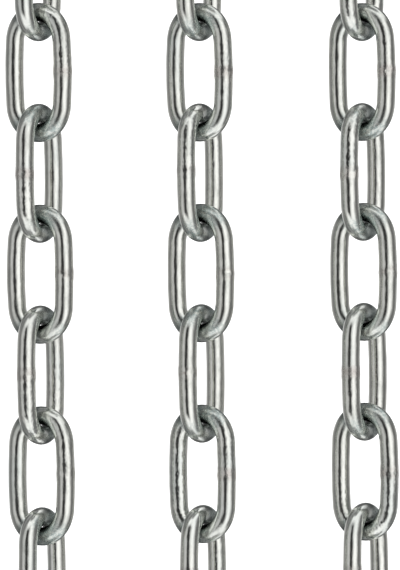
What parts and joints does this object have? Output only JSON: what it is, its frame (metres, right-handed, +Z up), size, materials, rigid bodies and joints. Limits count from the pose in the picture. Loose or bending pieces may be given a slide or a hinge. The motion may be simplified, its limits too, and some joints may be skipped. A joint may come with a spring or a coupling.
{
  "type": "welded steel chain",
  "caption": "Length of welded long-link chain in bright zinc-plated round steel wire, laid to and fro in three parallel runs.",
  "frame": {"origin": "centre of the chain's footprint, on the floor that it lies on", "axes": "+Y along the three runs, towards the turn that joins the first and second run; +X across the runs, from the first to the third; +Z up"},
  "size_m": [0.129, 0.3393, 0.0193],
  "materials": {
    "zinc_plated_steel": "bright electroplated zinc, smooth, with fine draw marks and a dull spot at each weld"
  },
  "bodies": {
    "link_01": {"link_01": "zinc_plated_steel"},
    "link_02": {"link_02": "zinc_plated_steel"},
    "link_03": {"link_03": "zinc_plated_steel"},
    "link_04": {"link_04": "zinc_plated_steel"},
    "link_05": {"link_05": "zinc_plated_steel"},
    "link_06": {"link_06": "zinc_plated_steel"},
    "link_07": {"link_07": "zinc_plated_steel"},
    "link_08": {"link_08": "zinc_plated_steel"},
    "link_09": {"link_09": "zinc_plated_steel"},
    "link_10": {"link_10": "zinc_plated_steel"},
    "link_11": {"link_11": "zinc_plated_steel"},
    "link_12": {"link_12": "zinc_plated_steel"},
    "link_13": {"link_13": "zinc_plated_steel"},
    "link_14": {"link_14": "zinc_plated_steel"},
    "link_15": {"link_15": "zinc_plated_steel"},
    "link_16": {"link_16": "zinc_plated_steel"},
    "link_17": {"link_17": "zinc_plated_steel"},
    "link_18": {"link_18": "zinc_plated_steel"},
    "link_19": {"link_19": "zinc_plated_steel"},
    "link_20": {"link_20": "zinc_plated_steel"},
    "link_21": {"link_21": "zinc_plated_steel"},
    "link_22": {"link_22": "zinc_plated_steel"},
    "link_23": {"link_23": "zinc_plated_steel"},
    "link_24": {"link_24": "zinc_plated_steel"},
    "link_25": {"link_25": "zinc_plated_steel"},
    "link_26": {"link_26": "zinc_plated_steel"},
    "link_27": {"link_27": "zinc_plated_steel"},
    "link_28": {"link_28": "zinc_plated_steel"},
    "link_29": {"link_29": "zinc_plated_steel"},
    "link_30": {"link_30": "zinc_plated_steel"}
  },
  "joints": [
    {"name": "link_01_swing", "type": "hinge", "parent": "link_02", "child": "link_01", "pos_m": [-0.05481, -0.1188, 0.00952], "axis": [-0.7071, 0, 0.7071], "range_deg": [-90, 90]},
    {"name": "link_02_swing", "type": "hinge", "parent": "link_03", "child": "link_02", "pos_m": [-0.05481, -0.08595, 0.00952], "axis": [0.7071, 0, 0.7071], "range_deg": [-90, 90]},
    {"name": "link_03_swing", "type": "hinge", "parent": "link_04", "child": "link_03", "pos_m": [-0.05481, -0.0531, 0.00952], "axis": [0.7071, 0, -0.7071], "range_deg": [-90, 90]},
    {"name": "link_04_swing", "type": "hinge", "parent": "link_05", "child": "link_04", "pos_m": [-0.05481, -0.02025, 0.00952], "axis": [-0.7071, 0, -0.7071], "range_deg": [-90, 90]},
    {"name": "link_05_swing", "type": "hinge", "parent": "link_06", "child": "link_05", "pos_m": [-0.05481, 0.0126, 0.00952], "axis": [-0.7071, 0, 0.7071], "range_deg": [-90, 90]},
    {"name": "link_06_swing", "type": "hinge", "parent": "link_07", "child": "link_06", "pos_m": [-0.05481, 0.04545, 0.00952], "axis": [0.7071, 0, 0.7071], "range_deg": [-90, 90]},
    {"name": "link_07_swing", "type": "hinge", "parent": "link_08", "child": "link_07", "pos_m": [-0.05481, 0.0783, 0.00952], "axis": [0.7071, 0, -0.7071], "range_deg": [-90, 90]},
    {"name": "link_08_swing", "type": "hinge", "parent": "link_09", "child": "link_08", "pos_m": [-0.05481, 0.11115, 0.00952], "axis": [-0.7071, 0, -0.7071], "range_deg": [-90, 90]},
    {"name": "link_09_turn", "type": "hinge", "parent": "link_10", "child": "link_09", "pos_m": [-0.05481, 0.1469, 0.01017], "axis": [0, 0, 1], "range_deg": [-60, 0]},
    {"name": "link_10_turn", "type": "hinge", "parent": "link_11", "child": "link_10", "pos_m": [-0.02769, 0.16102, 0.00952], "axis": [0, 0, 1], "range_deg": [-15, 0]},
    {"name": "link_11_turn", "type": "hinge", "parent": "link_12", "child": "link_11", "pos_m": [-0.00057, 0.1469, 0.00887], "axis": [0, 0, 1], "range_deg": [-60, 0]},
    {"name": "link_12_swing", "type": "hinge", "parent": "link_13", "child": "link_12", "pos_m": [-0.00057, 0.1177, 0.00952], "axis": [0.7071, 0, -0.7071], "range_deg": [-90, 90]},
    {"name": "link_13_swing", "type": "hinge", "parent": "link_14", "child": "link_13", "pos_m": [-0.00057, 0.08485, 0.00952], "axis": [0.7071, 0, 0.7071], "range_deg": [-90, 90]},
    {"name": "link_14_swing", "type": "hinge", "parent": "link_15", "child": "link_14", "pos_m": [-0.00057, 0.052, 0.00952], "axis": [-0.7071, 0, 0.7071], "range_deg": [-90, 90]},
    {"name": "link_15_swing", "type": "hinge", "parent": "link_16", "child": "link_15", "pos_m": [-0.00057, 0.01915, 0.00952], "axis": [-0.7071, 0, -0.7071], "range_deg": [-90, 90]},
    {"name": "link_17_swing", "type": "hinge", "parent": "link_16", "child": "link_17", "pos_m": [-0.00057, -0.02025, 0.00952], "axis": [0.7071, 0, 0.7071], "range_deg": [-90, 90]},
    {"name": "link_18_swing", "type": "hinge", "parent": "link_17", "child": "link_18", "pos_m": [-0.00057, -0.0531, 0.00952], "axis": [-0.7071, 0, 0.7071], "range_deg": [-90, 90]},
    {"name": "link_19_swing", "type": "hinge", "parent": "link_18", "child": "link_19", "pos_m": [-0.00057, -0.08595, 0.00952], "axis": [-0.7071, 0, -0.7071], "range_deg": [-90, 90]},
    {"name": "link_20_swing", "type": "hinge", "parent": "link_19", "child": "link_20", "pos_m": [-0.00057, -0.1188, 0.00952], "axis": [0.7071, 0, -0.7071], "range_deg": [-90, 90]},
    {"name": "link_21_turn", "type": "hinge", "parent": "link_20", "child": "link_21", "pos_m": [-0.00057, -0.1479, 0.01017], "axis": [0, 0, 1], "range_deg": [-60, 0]},
    {"name": "link_22_turn", "type": "hinge", "parent": "link_21", "child": "link_22", "pos_m": [0.02712, -0.16093, 0.00952], "axis": [0, 0, 1], "range_deg": [-15, 0]},
    {"name": "link_23_turn", "type": "hinge", "parent": "link_22", "child": "link_23", "pos_m": [0.05481, -0.1479, 0.00887], "axis": [0, 0, 1], "range_deg": [-60, 0]},
    {"name": "link_24_swing", "type": "hinge", "parent": "link_23", "child": "link_24", "pos_m": [0.05481, -0.11225, 0.00952], "axis": [-0.7071, 0, -0.7071], "range_deg": [-90, 90]},
    {"name": "link_25_swing", "type": "hinge", "parent": "link_24", "child": "link_25", "pos_m": [0.05481, -0.0794, 0.00952], "axis": [-0.7071, 0, 0.7071], "range_deg": [-90, 90]},
    {"name": "link_26_swing", "type": "hinge", "parent": "link_25", "child": "link_26", "pos_m": [0.05481, -0.04655, 0.00952], "axis": [0.7071, 0, 0.7071], "range_deg": [-90, 90]},
    {"name": "link_27_swing", "type": "hinge", "parent": "link_26", "child": "link_27", "pos_m": [0.05481, -0.0137, 0.00952], "axis": [0.7071, 0, -0.7071], "range_deg": [-90, 90]},
    {"name": "link_28_swing", "type": "hinge", "parent": "link_27", "child": "link_28", "pos_m": [0.05481, 0.01915, 0.00952], "axis": [-0.7071, 0, -0.7071], "range_deg": [-90, 90]},
    {"name": "link_29_swing", "type": "hinge", "parent": "link_28", "child": "link_29", "pos_m": [0.05481, 0.052, 0.00952], "axis": [-0.7071, 0, 0.7071], "range_deg": [-90, 90]},
    {"name": "link_30_swing", "type": "hinge", "parent": "link_29", "child": "link_30", "pos_m": [0.05481, 0.08485, 0.00952], "axis": [0.7071, 0, 0.7071], "range_deg": [-90, 90]}
  ]
}
